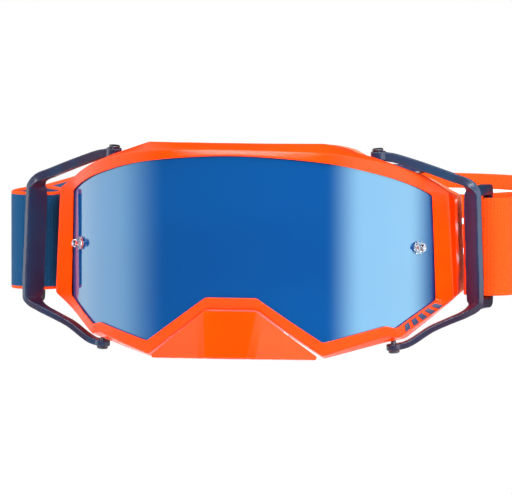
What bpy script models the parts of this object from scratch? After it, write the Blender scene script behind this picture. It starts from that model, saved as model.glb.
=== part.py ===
"""Motorcycle goggles with hinged outriggers, a clip-on nose guard and a two-colour head strap.

All dimensions are in millimetres and are scaled to metres when a mesh is made.
The origin is the centre of the face seat: the foam touches the brow at Y = 0, the front is
towards -Y, +X is the wearer's left and +Z is up.
"""

import math

import bmesh
import bpy
import numpy as np
from mathutils import Matrix, Vector

MM = 0.001

# Curved lens and face seat: both follow cylinders with a vertical axis.
LENS_RADIUS = 97.0
LENS_FRONT_Y = -48.0
LENS_HALF_WIDTH = 84.5
SIDE_BAND_SLOPE = 0.3
FACE_RADIUS = 134.0
FLANGE_Y = -16.0

# Depths behind the front surface of the frame.
LIP_FRONT = -0.6
LIP_REAR = 0.6
LENS_FACE = 0.95
LENS_THICKNESS = 1.1
GROOVE_REAR = 2.5
INNER_LIP_REAR = 4.3
RIDGE_DEPTH = 0.2
SHOULDER_DEPTH = 6.0
LEDGE_DEPTH = 8.0

# Outline offsets, measured outwards from the edge of the lens window.
LENS_MARGIN = 1.7
GROOVE_MARGIN = 2.2
INNER_LIP_MARGIN = 0.2
INNER_WALL_MARGIN = 1.5
FLANGE_THICKNESS = 2.5
WALL_THICKNESS = 2.4

# Half outlines of the frame, from the top centre round the wearer's left to the bottom centre.
# Every outline has the same corners, so they can be lofted to each other.
STRETCH_STEPS = (5, 3, 2, 1, 2, 6, 1, 4, 4, 2)
SMOOTH_STRETCHES = 4
WINDOW = [(0, 43), (41, 39.8), (66.7, 33), (79.7, 26.6), (83.8, 23.3), (85.2, -24.8),
          (70.7, -36.7), (66.7, -35.4), (41, -42.4), (11.8, -21.7), (0, -21.7)]
RIDGE = [(0, 46.4), (41, 44.3), (66, 39.2), (80.2, 32), (90.8, 24.4), (93.2, -24),
         (71.5, -41.2), (67.3, -39.8), (40.5, -48.4), (12, -27), (0, -27)]
SHOULDER = [(0, 48.6), (41, 48.3), (61, 41.6), (79, 33.2), (92.4, 22.4), (93.6, -23.2),
            (73, -42), (66, -43.2), (40.5, -50), (10.5, -29.5), (0, -29.5)]
LEDGE = [(0, 47.8), (41, 47.2), (56.5, 38.9), (78, 30.8), (92.2, 22), (93.2, -22.8),
         (74, -39.6), (66.5, -39.8), (38, -48.6), (10.5, -28), (0, -28)]
SEAT = [(0, 46.5), (41, 46), (58, 37.8), (79, 30.2), (91.5, 22), (92.8, -22.5),
        (74, -39.2), (66, -39.2), (38, -46.5), (15, -24), (0, -18)]
FLANGE_EDGE = [(0, 37.5), (40, 36.8), (57, 29.2), (73, 22.6), (82.5, 16.5), (83.8, -17.5),
               (69.5, -30.5), (63, -31), (43, -36.8), (21, -17), (0, -8.5)]

# Face foam, from the frame's flange to the face.
FOAM_GAP = 0.3
FOAM_LAYERS = (("face_foam_base", 6.0), ("face_foam_middle", 7.0), ("face_foam_fleece", 2.1))
FOAM_EDGE = 0.8

# Ventilation.
TOP_VENTS = 7
TOP_VENT_PITCH = 13.0
TOP_VENT_SIZE = (8.0, 9.0, 14.0)
TOP_VENT_Y = -27.0
BOTTOM_VENT_XS = (47.0, 58.0)
BOTTOM_VENT_SIZE = (7.0, 9.0, 14.0)
VENT_FOAM_THICKNESS = 3.0
VENT_FOAM_GAP = 0.6

# Tear-off posts.
POST_X = 78.6
POST_Z = -0.3
POST_DISC_RADIUS = 2.95
POST_HOLE_RADIUS = 1.6
WASHER_RADIUS = 3.4

# Nose guard.
GUARD_UPPER = [(0, -1.7, -27.6), (12.1, -1.7, -27.6), (15.5, -0.7, -30.4), (38.6, 7.4, -48.5)]
GUARD_LOWER = [(0, -11.3, -48.2), (9.5, -11.2, -48.2), (13.5, -9.4, -48.5), (38.3, 6.9, -49.8)]
GUARD_THICKNESS = 1.8
GUARD_PEG = (24.0, -38.2)
GUARD_PEG_RADIUS = 1.0
GUARD_PEG_REACH = 8.0

# Outriggers, wearer's left; the right one is its mirror image.
UPPER_ARM_PATH = [(61.6, -14.2, 41.9), (70, -10.4, 40.3), (92.7, -0.5, 31.8), (102.6, 4, 27)]
LOWER_ARM_PATH = [(68, -10, -45.7), (76.5, -6.6, -42.9), (84, -4, -37.8), (104, 2.5, -28.4)]
UPPER_ARM_SECTION = (5.0, 4.2)
LOWER_ARM_SECTION = (5.0, 3.0)
BAR_TOP = (101.8, 3.5, 26.4)
BAR_BOTTOM = (103.6, 2.0, -28.6)
BAR_WIDTH = 10.0
BAR_THICKNESS = 3.0
BAR_ANGLE = -43.0
EYE_RADIUS = 3.4
REAR_BAR = (105.0, 24.5)
REAR_BAR_SECTION = (4.0, 5.0)
TAB_HEIGHT = 4.6
SLOT_TOP = 22.6
SLOT_BOTTOM = -24.4
PIN_RADIUS = 1.2
PIN_CLEARANCE = 0.35
PIN_HEAD_RADIUS = 2.6

# Strap: a loop round the head, made of two halves that lap over each other at the back.
STRAP_WIDTH = 45.0
STRAP_THICKNESS = 1.5
STRAP_Z = -0.8
STRAP_SIDE_X = 112.0
STRAP_START_Y = 64.0
STRAP_BACK_Y = 190.0
STRAP_CORNER_RADIUS = 62.0
STRAP_LAP = 12.0
STRAP_LAP_OFFSET = 1.9
FOLD_PATH = [(112.2, 61), (115.4, 52), (117.6, 40), (118.0, 28), (116.2, 18), (111.0, 12.8),
             (103.6, 11.6), (99.2, 12.4), (96.0, 16.0), (95.2, 24), (97, 36), (101.5, 48),
             (107.4, 56)]
GRIP_OFFSETS = (-14.0, 0.0, 14.0)
GRIP_WIDTH = 3.0
GRIP_THICKNESS = 0.8
GRIP_GAP = 0.35

# Strap sliders: end bars outside the strap, a centre bar inside it.
SLIDER_X = 33.0
SLIDER_HALF_LENGTH = 9.0
SLIDER_BAR = 3.0
SLIDER_PLATE = 1.7
SLIDER_PLAY = 0.35
SLIDER_RAIL = 3.2

ORANGE = (0.90, 0.09, 0.004)
NAVY = (0.012, 0.05, 0.12)
MIRROR_BLUE = (0.02, 0.16, 0.42)
WEBBING_ORANGE = (0.85, 0.10, 0.01)
WEBBING_BLUE = (0.01, 0.10, 0.24)
FOAM_GREY = (0.06, 0.06, 0.065)
FLEECE_BLACK = (0.015, 0.015, 0.017)
CLEAR = (0.8, 0.85, 0.9)
STEEL = (0.6, 0.6, 0.62)
SILICONE = (0.75, 0.76, 0.78)


def clear_scene():
    for old in list(bpy.data.objects):
        bpy.data.objects.remove(old)


def new_collection(name, parent=None):
    collection = bpy.data.collections.new(name)
    (parent or bpy.context.scene.collection).children.link(collection)
    return collection


clear_scene()
PARTS = new_collection("motorcycle_goggles")
CUTTERS = new_collection("cutters")


def material(name, colour, roughness, metallic=0.0):
    found = bpy.data.materials.get(name)
    if found:
        return found
    made = bpy.data.materials.new(name)
    made.use_nodes = True
    shader = made.node_tree.nodes["Principled BSDF"]
    shader.inputs["Base Color"].default_value = (*colour, 1.0)
    shader.inputs["Roughness"].default_value = roughness
    shader.inputs["Metallic"].default_value = metallic
    return made


def add_object(name, vertices, faces, finish=None, collection=PARTS):
    """A mesh object from points in millimetres; a closed mesh gets its faces turned outwards."""
    mesh = bpy.data.meshes.new(name)
    mesh.from_pydata([Vector(v) * MM for v in vertices], [], faces)
    shape = bmesh.new()
    shape.from_mesh(mesh)
    bmesh.ops.recalc_face_normals(shape, faces=shape.faces)
    shape.to_mesh(mesh)
    shape.free()
    made = bpy.data.objects.new(name, mesh)
    collection.objects.link(made)
    if finish:
        mesh.materials.append(material(*finish))
    return made


def add_cutter(name, vertices, faces):
    made = add_object(name, vertices, faces, None, CUTTERS)
    made.hide_render = True
    made.display_type = "WIRE"
    return made


def box_shape(size, matrix):
    """Points and faces of a box of the given size, placed by a matrix in millimetres."""
    shape = bmesh.new()
    bmesh.ops.create_cube(shape, size=1.0, matrix=matrix @ Matrix.Diagonal((*size, 1.0)))
    return mesh_data(shape)


def cylinder_shape(start, end, radius, sides=16):
    """Points and faces of a round bar between two points."""
    start, end = Vector(start), Vector(end)
    turn = (end - start).to_track_quat("Z", "Y").to_matrix().to_4x4()
    matrix = Matrix.Translation((start + end) / 2) @ turn
    shape = bmesh.new()
    bmesh.ops.create_cone(shape, cap_ends=True, segments=sides, radius1=radius, radius2=radius,
                          depth=(end - start).length, matrix=matrix)
    return mesh_data(shape)


def mesh_data(shape):
    shape.verts.index_update()
    vertices = [tuple(v.co) for v in shape.verts]
    faces = [tuple(v.index for v in face.verts) for face in shape.faces]
    shape.free()
    return vertices, faces


def boolean(target, cutter, operation):
    """Cuts the target with, or joins it to, one object or all of a collection."""
    modifier = target.modifiers.new(cutter.name, "BOOLEAN")
    modifier.operation = operation
    modifier.solver = "EXACT"
    if isinstance(cutter, bpy.types.Collection):
        modifier.operand_type = "COLLECTION"
        modifier.collection = cutter
    else:
        modifier.object = cutter


def lens_y(x):
    """Y of the lens cylinder."""
    return LENS_FRONT_Y + LENS_RADIUS - math.sqrt(LENS_RADIUS ** 2 - x ** 2)


def band_y(x):
    """Y of the frame's front: the lens cylinder, then a nearly flat band outside the lens."""
    inside = min(abs(x), LENS_HALF_WIDTH)
    return lens_y(inside) + SIDE_BAND_SLOPE * (abs(x) - inside)


def face_y(x):
    """Y of the flange that carries the face foam."""
    return FLANGE_Y + FACE_RADIUS - math.sqrt(FACE_RADIUS ** 2 - x ** 2)


def smooth_point(before, start, end, after, share):
    """A Catmull-Rom point between start and end."""
    b, s, e, a = (np.array(p, dtype=float) for p in (before, start, end, after))
    curve = 2 * s + (e - b) * share + (2 * b - 5 * s + 4 * e - a) * share ** 2
    curve = curve + (3 * s - b - 3 * e + a) * share ** 3
    return tuple(curve / 2)


def full_outline(corners, smooth=True):
    """The closed outline: stretches cut into steps, then mirrored across X = 0."""
    half = []
    for index, steps in enumerate(STRETCH_STEPS):
        start, end = corners[index], corners[index + 1]
        mirrored = (-corners[1][0], corners[1][1])
        before = corners[index - 1] if index else mirrored
        for step in range(steps):
            share = step / steps
            if smooth and index < SMOOTH_STRETCHES - 1:
                half.append(smooth_point(before, start, end, corners[index + 2], share))
            else:
                half.append(tuple(np.array(start) * (1 - share) + np.array(end) * share))
    half.append(corners[-1])
    return half + [(-x, z) for x, z in reversed(half[1:-1])]


def offset_outline(outline, distance):
    """The outline moved outwards by a distance, mitred at its corners."""
    points = np.array(outline, dtype=float)
    along = np.roll(points, -1, axis=0) - points
    along /= np.linalg.norm(along, axis=1)[:, None]
    normals = np.column_stack([-along[:, 1], along[:, 0]])
    bisectors = normals + np.roll(normals, 1, axis=0)
    bisectors /= np.linalg.norm(bisectors, axis=1)[:, None]
    mitre = np.clip(np.sum(bisectors * normals, axis=1), 0.6, 1.0)
    return [tuple(p) for p in points + bisectors * (distance / mitre)[:, None]]


def band_loop(outline, depth):
    return [(x, band_y(x) + depth, z) for x, z in outline]


def lens_loop(outline, depth):
    return [(x, lens_y(x) + depth, z) for x, z in outline]


def seat_loop(outline, depth):
    return [(x, face_y(x) + depth, z) for x, z in outline]


def loft(loops, first=0, last=None, crossed=()):
    """A solid through closed profile loops: a whole ring, or the stretch from first to last.

    The bent quads are split so that two solids that face each other keep an even gap: the
    profile steps named in crossed are split along their other diagonal.
    """
    count = len(loops[0])
    whole = last is None
    stations = list(range(count)) if whole else [i % count for i in range(first, last + 1)]
    vertices = [loop[i] for i in stations for loop in loops]
    rows, profile = len(stations), len(loops)
    faces = []
    for row in range(rows if whole else rows - 1):
        after = (row + 1) % rows
        for k in range(profile):
            turn = (k + 1) % profile
            a, b = row * profile + k, row * profile + turn
            c, d = after * profile + turn, after * profile + k
            if k in crossed:
                faces += [(a, b, d), (b, c, d)]
            else:
                faces += [(a, b, c), (a, c, d)]
    if not whole:
        faces.append(tuple(range(profile)))
        faces.append(tuple((rows - 1) * profile + k for k in range(profile)))
    return vertices, faces


WINDOW_LOOP = full_outline(WINDOW)
SEAT_LOOP = full_outline(SEAT)
INNER_WALL_FRONT = offset_outline(WINDOW_LOOP, INNER_WALL_MARGIN)
INNER_WALL_REAR = offset_outline(SEAT_LOOP, -WALL_THICKNESS)


def side_name(name, side):
    return name + ("_left" if side > 0 else "_right")


def mirrored(points, side):
    return [(side * p[0], p[1], p[2]) for p in points]


def make_frame():
    flange_inner = full_outline(FLANGE_EDGE)
    groove = offset_outline(WINDOW_LOOP, GROOVE_MARGIN)
    inner_lip = offset_outline(WINDOW_LOOP, INNER_LIP_MARGIN)
    loops = [
        band_loop(WINDOW_LOOP, LIP_FRONT),
        band_loop(full_outline(RIDGE), RIDGE_DEPTH),
        band_loop(full_outline(SHOULDER, smooth=False), SHOULDER_DEPTH),
        band_loop(full_outline(LEDGE), LEDGE_DEPTH),
        seat_loop(SEAT_LOOP, 0.0),
        seat_loop(flange_inner, 0.0),
        seat_loop(flange_inner, -FLANGE_THICKNESS),
        seat_loop(INNER_WALL_REAR, -FLANGE_THICKNESS),
        lens_loop(INNER_WALL_FRONT, INNER_LIP_REAR),
        lens_loop(inner_lip, INNER_LIP_REAR),
        lens_loop(inner_lip, GROOVE_REAR),
        lens_loop(groove, GROOVE_REAR),
        lens_loop(groove, LIP_REAR),
        lens_loop(WINDOW_LOOP, LIP_REAR),
    ]
    frame = add_object("frame", *loft(loops), ("frame_gloss_orange", ORANGE, 0.22))
    cuts = new_collection("frame_cuts", CUTTERS)
    for cutter in vent_cutters() + peg_cutters() + pivot_cutters():
        CUTTERS.objects.unlink(cutter)
        cuts.objects.link(cutter)
    boolean(frame, cuts, "DIFFERENCE")


def vent_cutters():
    cutters = []
    for index in range(TOP_VENTS):
        x = (index - (TOP_VENTS - 1) / 2) * TOP_VENT_PITCH
        y = TOP_VENT_Y + 0.35 * (lens_y(x) - LENS_FRONT_Y)
        place = Matrix.Translation((x, y, WINDOW[0][1] + 3.0))
        cutters.append(add_cutter(f"top_vent_cut_{index + 1}", *box_shape(TOP_VENT_SIZE, place)))
    for side in (1, -1):
        for index, x in enumerate(BOTTOM_VENT_XS):
            y = (lens_y(x) + face_y(x)) / 2 + 1.5
            place = Matrix.Translation((side * x, y, WINDOW[8][1] + 0.4 * (x - WINDOW[8][0])))
            name = side_name(f"bottom_vent_cut_{index + 1}", side)
            cutters.append(add_cutter(name, *box_shape(BOTTOM_VENT_SIZE, place)))
    return cutters


def peg_cutters():
    x, z = GUARD_PEG
    front, rear = LENS_FRONT_Y - 5.0, LENS_FRONT_Y + GUARD_PEG_REACH + 0.8
    return [add_cutter(side_name("peg_cut", side),
                       *cylinder_shape((side * x, front, z), (side * x, rear, z),
                                       GUARD_PEG_RADIUS + 0.4, 12))
            for side in (1, -1)]


def pivot_points(side):
    upper, lower = (Vector(p) for p in mirrored([UPPER_ARM_PATH[0], LOWER_ARM_PATH[0]], side))
    return upper, lower, (upper - lower).normalized()


def pivot_cutters():
    cutters = []
    for side in (1, -1):
        upper, lower, axis = pivot_points(side)
        for name, point in (("upper", upper), ("lower", lower)):
            ends = (point - axis * 9.0, point + axis * 9.0)
            shape = cylinder_shape(*ends, PIN_RADIUS + PIN_CLEARANCE, 12)
            cutters.append(add_cutter(side_name(f"pivot_cut_{name}", side), *shape))
    return cutters


def make_lens():
    """A curved plate whose upper and lower edges follow the window, a little outside it."""
    outline = np.array(offset_outline(WINDOW_LOOP, LENS_MARGIN))
    half = outline[: sum(STRETCH_STEPS) + 1]
    side_top = sum(STRETCH_STEPS[:4])
    side_bottom = sum(STRETCH_STEPS[:5])
    upper, lower = half[: side_top + 1], half[side_bottom:][::-1]
    reach = min(upper[-1, 0], lower[-1, 0])
    xs = sorted({round(float(x), 3) for x in [*upper[:, 0], *lower[:, 0], reach] if 0 <= x <= reach})
    xs = [-x for x in reversed(xs) if x > 0] + xs
    columns = []
    for x in xs:
        top = float(np.interp(abs(x), upper[:, 0], upper[:, 1]))
        bottom = float(np.interp(abs(x), lower[:, 0], lower[:, 1]))
        front = lens_y(x) + LENS_FACE
        rear = front + LENS_THICKNESS
        columns.append([(x, front, top), (x, rear, top), (x, rear, bottom), (x, front, bottom)])
    vertices = [point for column in columns for point in column]
    faces = [(0, 1, 2, 3), tuple(len(vertices) - 4 + k for k in range(4))]
    for column in range(len(columns) - 1):
        for k in range(4):
            a, b = column * 4 + k, column * 4 + (k + 1) % 4
            faces.append((a, b, b + 4, a + 4))
    lens = add_object("lens", vertices, faces, ("lens_mirror_blue", MIRROR_BLUE, 0.06, 0.8))
    for side in (1, -1):
        base, normal = post_place(side)
        shape = cylinder_shape(base - normal * 4, base + normal * 4, POST_HOLE_RADIUS, 12)
        boolean(lens, add_cutter(side_name("post_cut", side), *shape), "DIFFERENCE")


def post_place(side):
    """The point where a post's axis meets the lens face, and the lens normal there."""
    angle = math.asin(POST_X / LENS_RADIUS)
    normal = Vector((side * math.sin(angle), -math.cos(angle), 0.0))
    base = Vector((side * POST_X, lens_y(POST_X) + LENS_FACE, POST_Z))
    return base, normal


def turned(name, profile, base, axis, finish, steps=16, ring=False):
    """A turned solid: (radius, height) pairs from top to foot; a ring's profile is closed."""
    vertices = [(radius, 0, height) for radius, height in profile]
    edges = [(k, k + 1) for k in range(len(profile) - 1)]
    if ring:
        edges.append((len(profile) - 1, 0))
    mesh = bpy.data.meshes.new(name)
    mesh.from_pydata([Vector(v) * MM for v in vertices], edges, [])
    made = bpy.data.objects.new(name, mesh)
    PARTS.objects.link(made)
    screw = made.modifiers.new("Screw", "SCREW")
    screw.steps = screw.render_steps = steps
    screw.use_merge_vertices = True
    screw.merge_threshold = 0.00001
    mesh.materials.append(material(*finish))
    made.location = base * MM
    made.rotation_mode = "QUATERNION"
    made.rotation_quaternion = axis.to_track_quat("Z", "Y")
    return made


def make_posts():
    foot = -LENS_THICKNESS - 2.4
    post_profile = [(0, 4.4), (1.3, 4.4), (1.85, 3.7), (1.85, 2.9), (1.2, 2.3), (1.2, 1.2),
                    (POST_DISC_RADIUS, 1.1), (POST_DISC_RADIUS, 0.4), (1.2, 0.3), (1.2, foot),
                    (0, foot)]
    washer_top = -LENS_THICKNESS - 0.3
    washer_profile = [(POST_HOLE_RADIUS, washer_top), (WASHER_RADIUS, washer_top),
                      (WASHER_RADIUS, washer_top - 1.2), (POST_HOLE_RADIUS, washer_top - 1.2)]
    for side in (1, -1):
        base, normal = post_place(side)
        turned(side_name("tear_off_post", side), post_profile, base, normal,
               ("post_clear", CLEAR, 0.08))
        turned(side_name("post_washer", side), washer_profile, base, normal,
               ("post_clear", CLEAR, 0.08), ring=True)


def make_vent_foam(name, first, last):
    """A strip of vent foam lying on the inside of the frame's wall."""
    steps = (VENT_FOAM_GAP, VENT_FOAM_GAP + VENT_FOAM_THICKNESS)
    front = [offset_outline(INNER_WALL_FRONT, -step) for step in steps]
    rear = [offset_outline(INNER_WALL_REAR, -step) for step in steps]
    front_share, rear_share = 0.12, 0.9
    loops = []
    for outer, share in ((0, front_share), (0, rear_share), (1, rear_share), (1, front_share)):
        near = lens_loop(front[outer], INNER_LIP_REAR)
        far = seat_loop(rear[outer], -FLANGE_THICKNESS)
        loops.append([tuple(Vector(a).lerp(Vector(b), share)) for a, b in zip(near, far)])
    add_object(name, *loft(loops, first, last), ("vent_foam", FOAM_GREY, 0.95))


def make_vent_foams():
    count = len(WINDOW_LOOP)
    top_reach = STRETCH_STEPS[0] + 1
    first = sum(STRETCH_STEPS[:7])
    last = first + STRETCH_STEPS[7] - 1
    make_vent_foam("vent_foam_top", count - top_reach, count + top_reach)
    make_vent_foam("vent_foam_bottom_left", first, last)
    make_vent_foam("vent_foam_bottom_right", count - last, count - first)


def make_face_foam():
    finishes = (("foam_base", FOAM_GREY, 0.95), ("foam_middle", ORANGE, 0.9),
                ("foam_fleece", FLEECE_BLACK, 1.0))
    depth = FOAM_GAP
    for (name, thickness), finish in zip(FOAM_LAYERS, finishes):
        outer = offset_outline(SEAT_LOOP, -FOAM_EDGE)
        inner = offset_outline(full_outline(FLANGE_EDGE), FOAM_EDGE)
        loops = [seat_loop(outer, depth), seat_loop(outer, depth + thickness),
                 seat_loop(inner, depth + thickness), seat_loop(inner, depth)]
        add_object(name, *loft(loops, crossed=(3,)), finish)
        depth += thickness + FOAM_GAP


def make_nose_guard():
    """A folded shell: a centre facet, two narrow ones and two long side facets."""
    rows = []
    for points in (GUARD_UPPER, GUARD_LOWER):
        left = [(x, LENS_FRONT_Y + y, z) for x, y, z in points]
        rows.append([(-x, y, z) for x, y, z in reversed(left[1:])] + left)
    width = len(rows[0])
    vertices = rows[0] + rows[1]
    faces = [(k, k + width, k + width + 1, k + 1) for k in range(width - 1)]
    guard = add_object("nose_guard", vertices, faces, ("guard_gloss_orange", ORANGE, 0.2))
    for polygon in guard.data.polygons:
        if polygon.normal.y > 0:
            polygon.flip()
    shell = guard.modifiers.new("Shell", "SOLIDIFY")
    shell.thickness = GUARD_THICKNESS * MM
    shell.offset = -1.0
    shell.use_even_offset = True
    x, z = GUARD_PEG
    start, end = LENS_FRONT_Y + 2.2, LENS_FRONT_Y + GUARD_PEG_REACH
    for side in (1, -1):
        shape = cylinder_shape((side * x, start, z), (side * x, end, z), GUARD_PEG_RADIUS, 12)
        boolean(guard, add_cutter(side_name("guard_peg", side), *shape), "UNION")


def beam(start, end, width, height, roll=0.0):
    """A straight bar between two points; its height stays upright, or it is rolled by degrees."""
    start, end = Vector(start), Vector(end)
    along = (end - start).normalized()
    guide = Vector((0, 0, 1)) if abs(along.z) < 0.9 else Vector((0, 1, 0))
    across = guide.cross(along).normalized()
    upright = along.cross(across)
    turn = Matrix((across, upright, along)).transposed().to_4x4()
    matrix = Matrix.Translation((start + end) / 2) @ turn @ Matrix.Rotation(math.radians(roll), 4, "Z")
    return box_shape((width, height, (end - start).length), matrix)


def swept_bar(path, width, height):
    """A bar of upright rectangular section that follows a path of points."""
    points = [Vector(p) for p in path]
    vertices = []
    for index, point in enumerate(points):
        before, after = points[max(index - 1, 0)], points[min(index + 1, len(points) - 1)]
        along = (after - before).normalized()
        across = Vector((0, 0, 1)).cross(along).normalized() * width / 2
        upright = along.cross(across).normalized() * height / 2
        vertices += [point + across + upright, point - across + upright,
                     point - across - upright, point + across - upright]
    last = 4 * (len(points) - 1)
    faces = [(0, 1, 2, 3), (last + 3, last + 2, last + 1, last)]
    for row in range(0, last, 4):
        faces += [(row + k, row + (k + 1) % 4, row + 4 + (k + 1) % 4, row + 4 + k)
                  for k in range(4)]
    return vertices, faces


def outrigger_bars(side):
    """The bars of one outrigger: two arms, the front bar, two tabs and the rear bar."""
    upper, lower, axis = pivot_points(side)
    top, bottom = (Vector(p) for p in mirrored([BAR_TOP, BAR_BOTTOM], side))
    rear_x, rear_y = side * REAR_BAR[0], REAR_BAR[1]
    tab_top = SLOT_TOP + TAB_HEIGHT / 2
    tab_bottom = SLOT_BOTTOM - TAB_HEIGHT / 2
    bars = [
        ("front_bar", beam(bottom, top, BAR_WIDTH, BAR_THICKNESS, side * BAR_ANGLE)),
        ("upper_arm", swept_bar(mirrored(UPPER_ARM_PATH, side), *UPPER_ARM_SECTION)),
        ("lower_arm", swept_bar(mirrored(LOWER_ARM_PATH, side), *LOWER_ARM_SECTION)),
        ("upper_tab", beam((top.x, top.y, tab_top), (rear_x, rear_y, tab_top), 4.5, TAB_HEIGHT)),
        ("lower_tab", beam((bottom.x, bottom.y, tab_bottom), (rear_x, rear_y, tab_bottom),
                           4.5, TAB_HEIGHT)),
        ("rear_bar", beam((rear_x, rear_y, SLOT_BOTTOM - TAB_HEIGHT),
                          (rear_x, rear_y, SLOT_TOP + TAB_HEIGHT), *REAR_BAR_SECTION)),
        ("upper_eye", cylinder_shape(upper - axis * UPPER_ARM_SECTION[1] / 2,
                                     upper + axis * UPPER_ARM_SECTION[1] / 2, EYE_RADIUS)),
        ("lower_eye", cylinder_shape(lower - axis * LOWER_ARM_SECTION[1] / 2,
                                     lower + axis * LOWER_ARM_SECTION[1] / 2, EYE_RADIUS)),
    ]
    return bars


def make_outrigger(side):
    bars = outrigger_bars(side)
    name, shape = bars[0]
    outrigger = add_object(side_name("outrigger", side), *shape,
                           ("outrigger_navy", NAVY, 0.25))
    for name, shape in bars[1:]:
        boolean(outrigger, add_cutter(side_name(name, side), *shape), "UNION")
    upper, lower, axis = pivot_points(side)
    for name, point in (("upper", upper), ("lower", lower)):
        hole = cylinder_shape(point - axis * 5, point + axis * 5, PIN_RADIUS + PIN_CLEARANCE, 12)
        cutter = add_cutter(side_name(f"eye_hole_{name}", side), *hole)
        boolean(outrigger, cutter, "DIFFERENCE")


def make_pins():
    """Headed pins that join the outriggers to the frame along each hinge axis."""
    for side in (1, -1):
        upper, lower, axis = pivot_points(side)
        for level, point, outward, section in (("upper", upper, axis, UPPER_ARM_SECTION),
                                               ("lower", lower, -axis, LOWER_ARM_SECTION)):
            head = section[1] / 2 + 0.3
            profile = [(0, head + 1.0), (PIN_HEAD_RADIUS - 0.5, head + 1.0),
                       (PIN_HEAD_RADIUS, head + 0.6), (PIN_HEAD_RADIUS, head),
                       (PIN_RADIUS, head), (PIN_RADIUS, -6.5), (0, -6.5)]
            turned(side_name(f"outrigger_pin_{level}", side), profile, point, outward,
                   ("pin_steel", STEEL, 0.35, 1.0), 12)


def ribbon(name, path, thickness, low, high, finish):
    """A flat band standing on edge along a path of (x, y) points."""
    vertices = [(x, y, z) for x, y in path for z in (low, high)]
    faces = [(2 * k, 2 * k + 2, 2 * k + 3, 2 * k + 1) for k in range(len(path) - 1)]
    band = add_object(name, vertices, faces, finish)
    shell = band.modifiers.new("Thickness", "SOLIDIFY")
    shell.thickness = thickness * MM
    shell.offset = 0.0
    shell.use_even_offset = True


def strap_path(side, inset=0.0):
    """The strap's centre line from behind the outrigger round to the back of the head."""
    lap = STRAP_LAP_OFFSET if side < 0 else 0.0
    back = STRAP_BACK_Y + lap - inset
    wide = STRAP_SIDE_X - inset
    radius = STRAP_CORNER_RADIUS - inset
    path = [(wide, STRAP_START_Y), (wide, 90.0), (wide, back - radius)]
    for step in range(1, 13):
        angle = math.radians(90 * step / 12)
        path.append((wide - radius * (1 - math.cos(angle)), back - radius * (1 - math.sin(angle))))
    path.append((-STRAP_LAP, back))
    return [(side * x, y) for x, y in path]


def make_straps():
    low, high = STRAP_Z - STRAP_WIDTH / 2, STRAP_Z + STRAP_WIDTH / 2
    finishes = {1: ("webbing_orange", WEBBING_ORANGE, 0.9), -1: ("webbing_blue", WEBBING_BLUE, 0.9)}
    for side in (1, -1):
        fold = [(side * x, y) for x, y in FOLD_PATH]
        ribbon(side_name("strap_fold", side), fold, STRAP_THICKNESS, low, high, finishes[side])
        ribbon(side_name("strap", side), strap_path(side), STRAP_THICKNESS, low, high,
               finishes[side])


def make_grips():
    """Silicone lines on the inside of the strap, from behind the ear to the slider."""
    inset = STRAP_THICKNESS / 2 + GRIP_GAP + GRIP_THICKNESS / 2
    for side in (1, -1):
        path = strap_path(side, inset)[1:-1]
        for index, centre in enumerate(GRIP_OFFSETS):
            low = STRAP_Z + centre - GRIP_WIDTH / 2
            ribbon(side_name(f"grip_line_{index + 1}", side), path, GRIP_THICKNESS, low,
                   low + GRIP_WIDTH, ("grip_silicone", SILICONE, 0.4))


def make_sliders():
    inner_face = STRAP_THICKNESS / 2 + SLIDER_PLAY
    deep = 2 * (inner_face + SLIDER_PLATE)
    half_height = STRAP_WIDTH / 2 + SLIDER_PLAY
    tall = 2 * (half_height + SLIDER_RAIL)
    bar_offset = inner_face + SLIDER_PLATE / 2
    for side in (1, -1):
        back = STRAP_BACK_Y + (STRAP_LAP_OFFSET if side < 0 else 0.0)
        centre = Vector((side * SLIDER_X, back, STRAP_Z))
        end = SLIDER_HALF_LENGTH - SLIDER_BAR / 2
        pieces = []
        for x in (-end, end):
            place = Matrix.Translation(centre + Vector((x, bar_offset, 0)))
            pieces.append(box_shape((SLIDER_BAR, SLIDER_PLATE, tall), place))
        place = Matrix.Translation(centre - Vector((0, bar_offset, 0)))
        pieces.append(box_shape((SLIDER_BAR, SLIDER_PLATE, tall), place))
        for direction in (-1, 1):
            lift = Vector((0, 0, direction * (half_height + SLIDER_RAIL / 2)))
            place = Matrix.Translation(centre + lift)
            pieces.append(box_shape((2 * SLIDER_HALF_LENGTH, deep, SLIDER_RAIL), place))
        slider = add_object(side_name("slider", side), *pieces[0], ("slider_navy", NAVY, 0.35))
        for index, shape in enumerate(pieces[1:]):
            cutter = add_cutter(side_name(f"slider_bar_{index + 1}", side), *shape)
            boolean(slider, cutter, "UNION")


make_frame()
make_lens()
make_posts()
make_nose_guard()
make_vent_foams()
make_face_foam()
make_outrigger(1)
make_outrigger(-1)
make_pins()
make_straps()
make_grips()
make_sliders()
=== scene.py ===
"""Looks of the motorcycle goggles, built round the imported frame.

Lengths are in millimetres and are scaled to metres when a mesh is made, except where a comment
says otherwise. The outlines and depths are the ones that the solids were made from.
"""

import math

import bmesh
import bpy
import numpy as np
from mathutils import Matrix, Vector
from mathutils.bvhtree import BVHTree


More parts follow.
